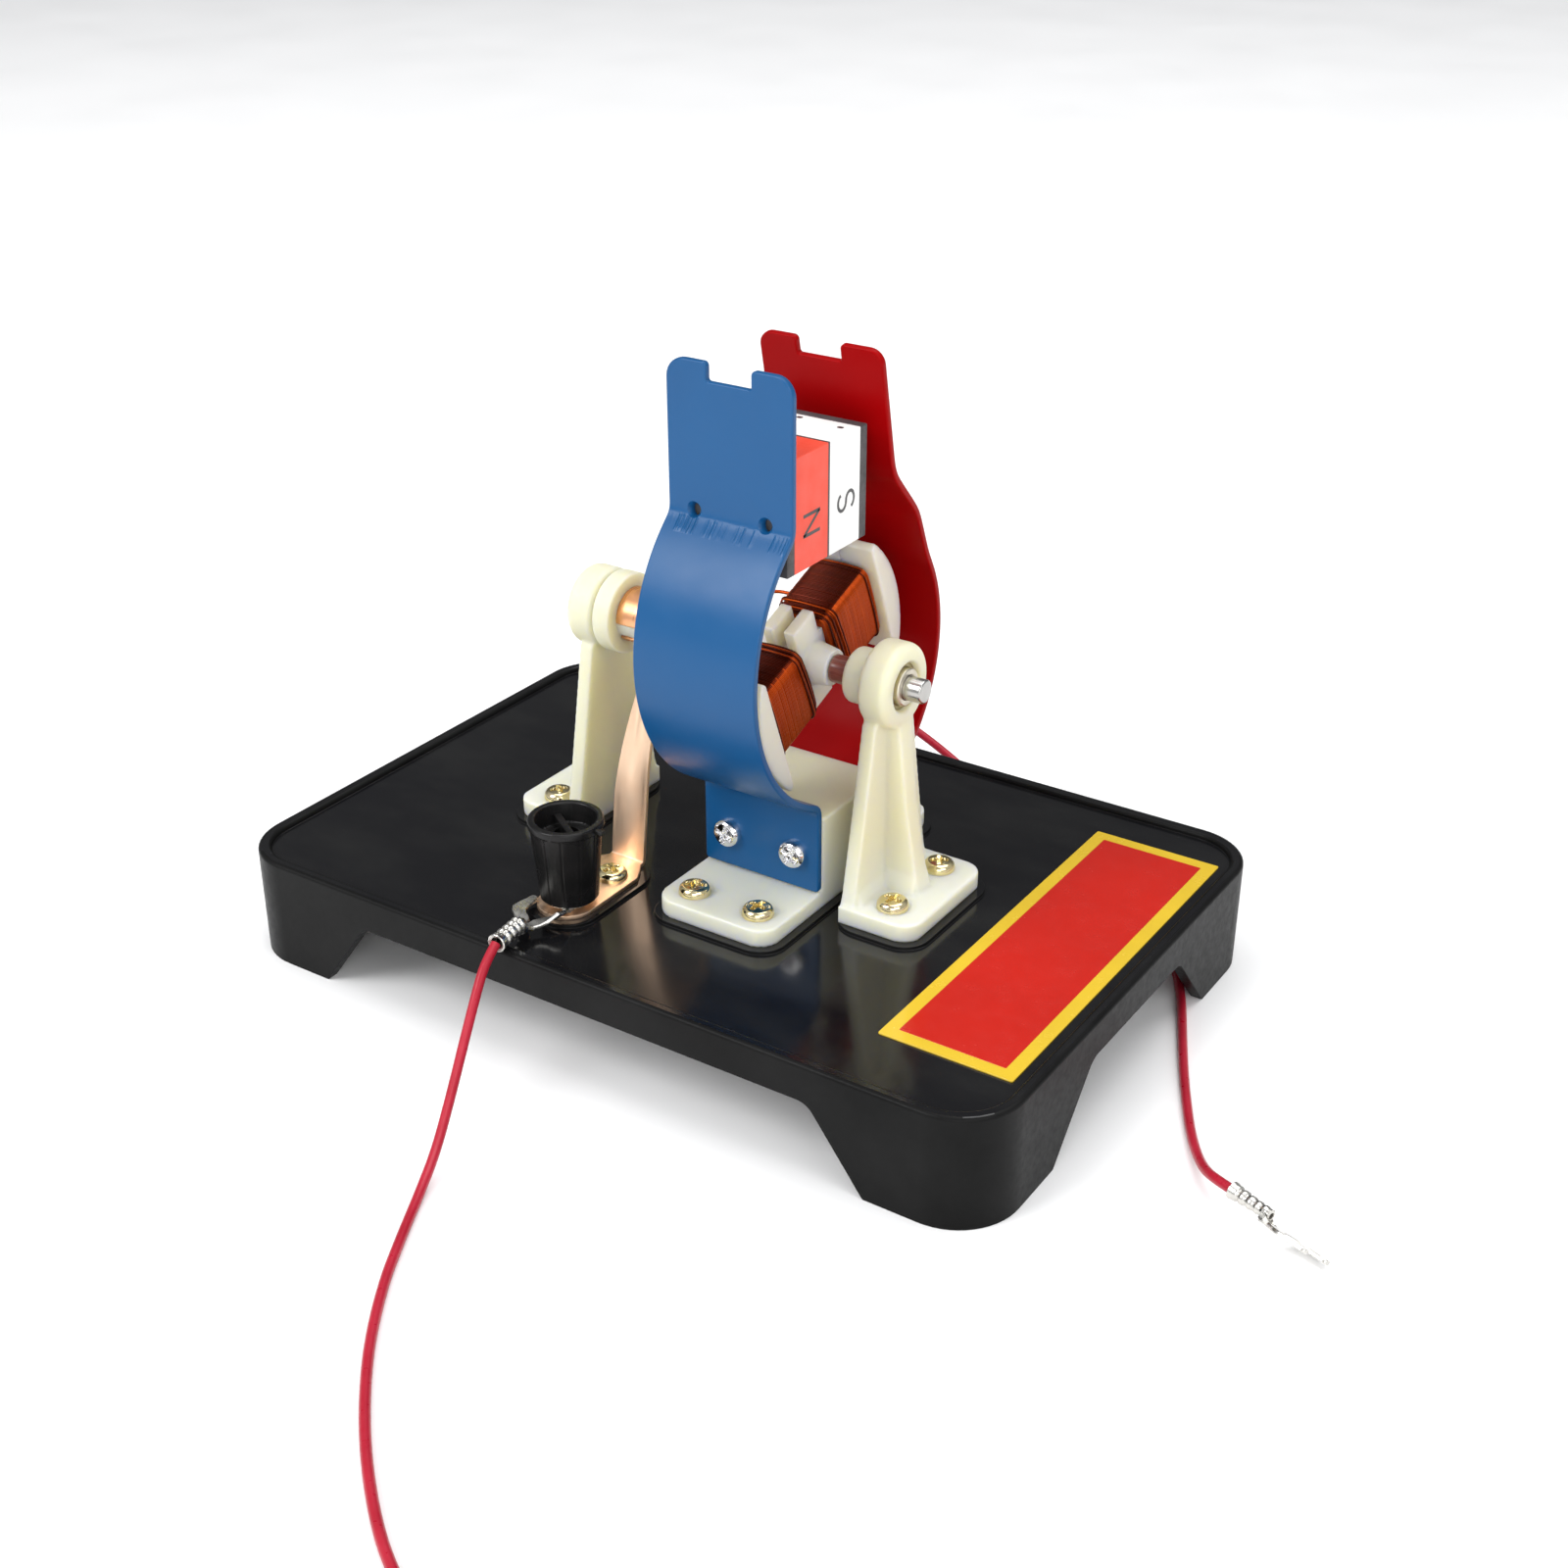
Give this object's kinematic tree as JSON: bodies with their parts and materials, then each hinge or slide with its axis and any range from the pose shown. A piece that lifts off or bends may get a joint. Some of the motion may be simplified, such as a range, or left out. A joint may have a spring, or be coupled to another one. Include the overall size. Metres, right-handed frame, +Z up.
{
  "type": "demonstration electric motor",
  "caption": "Classroom electric motor: a wound armature with a commutator turns between painted pole pieces under a bar magnet, on a black plastic base with brushes, screw terminals and leads.",
  "frame": {"origin": "middle of the underside of the base", "axes": "+X along the base and the armature shaft towards its free end, +Y from the blue pole piece to the red one, +Z up"},
  "size_m": [0.1931, 0.2142, 0.112],
  "materials": {
    "black_plastic": "gloss moulded ABS, satin walls",
    "label": "gloss printed label, red field and yellow border, bare",
    "nylon": "translucent natural nylon",
    "steel": "turned bright steel",
    "blue_paint": "satin blue paint on steel strip",
    "red_paint": "gloss deep red paint on steel strip",
    "ferrite": "dull dark end plates",
    "magnet_paper": "printed paper, one half red and one half white",
    "enamel_wire": "enamelled copper wire",
    "brown_tube": "red-brown insulating tube",
    "copper": "bright rolled copper",
    "knob_plastic": "black phenolic",
    "tin": "tinned brass",
    "gold": "yellow passivated steel",
    "chrome": "bright nickel plate",
    "wire_red": "red soft PVC insulation"
  },
  "bodies": {
    "root": {"base": "black_plastic", "bearing_bracket_front": "nylon", "bearing_bracket_rear": "nylon", "brush_far": "copper", "brush_near": "copper", "brush_screws": "gold", "bush_front": "steel", "bush_rear": "steel", "flange_screws": "gold", "fork_terminal_far": "tin", "fork_terminal_loose_far": "tin", "fork_terminal_loose_near": "tin", "fork_terminal_near": "tin", "label_plate": "label", "pole_bracket": "nylon", "pole_piece_blue": "blue_paint", "pole_piece_red": "red_paint", "pole_screws": "chrome", "terminal_studs": "steel", "wire_far": "wire_red", "wire_near": "wire_red"},
    "rotor": {"shaft": "steel", "armature_core": "steel", "coil_former_front": "nylon", "coil_former_rear": "nylon", "coil_far": "enamel_wire", "coil_near": "enamel_wire", "coil_leads": "enamel_wire", "commutator_core": "nylon", "commutator_segment_upper": "copper", "commutator_segment_lower": "copper", "spacer_sleeve": "brown_tube", "stop_collar": "nylon", "thrust_washer": "brown_tube"},
    "magnet": {"magnet_plate_near": "ferrite", "magnet_plate_far": "ferrite", "magnet_core": "ferrite", "magnet_wrap": "magnet_paper"},
    "clamp_near": {"clamp_washer_near": "tin"},
    "clamp_far": {"clamp_washer_far": "tin"},
    "knob_near": {"terminal_knob_near": "knob_plastic"},
    "knob_far": {"terminal_knob_far": "knob_plastic"}
  },
  "joints": [
    {"name": "rotor_spin", "type": "hinge", "parent": "root", "child": "rotor", "pos_m": [0.0103, 0, 0.0586], "axis": [1, 0, 0], "continuous": true},
    {"name": "magnet_lift", "type": "slide", "parent": "root", "child": "magnet", "axis": [0, 0, 1], "range_m": [0, 0.035]},
    {"name": "clamp_near_travel", "type": "slide", "parent": "root", "child": "clamp_near", "axis": [0, 0, 1], "range_m": [0, 0.0021]},
    {"name": "knob_near_turn", "type": "hinge", "parent": "clamp_near", "child": "knob_near", "pos_m": [-0.0138, -0.0322, 0.028], "axis": [0, 0, 1], "range_deg": [0, 1080]},
    {"name": "clamp_far_travel", "type": "slide", "parent": "root", "child": "clamp_far", "axis": [0, 0, 1], "range_m": [0, 0.0021]},
    {"name": "knob_far_turn", "type": "hinge", "parent": "clamp_far", "child": "knob_far", "pos_m": [-0.0138, 0.0322, 0.028], "axis": [0, 0, 1], "range_deg": [0, 1080]}
  ],
  "couplings": [
    {"joint": "knob_near_turn", "follows": "clamp_near_travel", "rad_per_m": 8976},
    {"joint": "knob_far_turn", "follows": "clamp_far_travel", "rad_per_m": 8976}
  ]
}
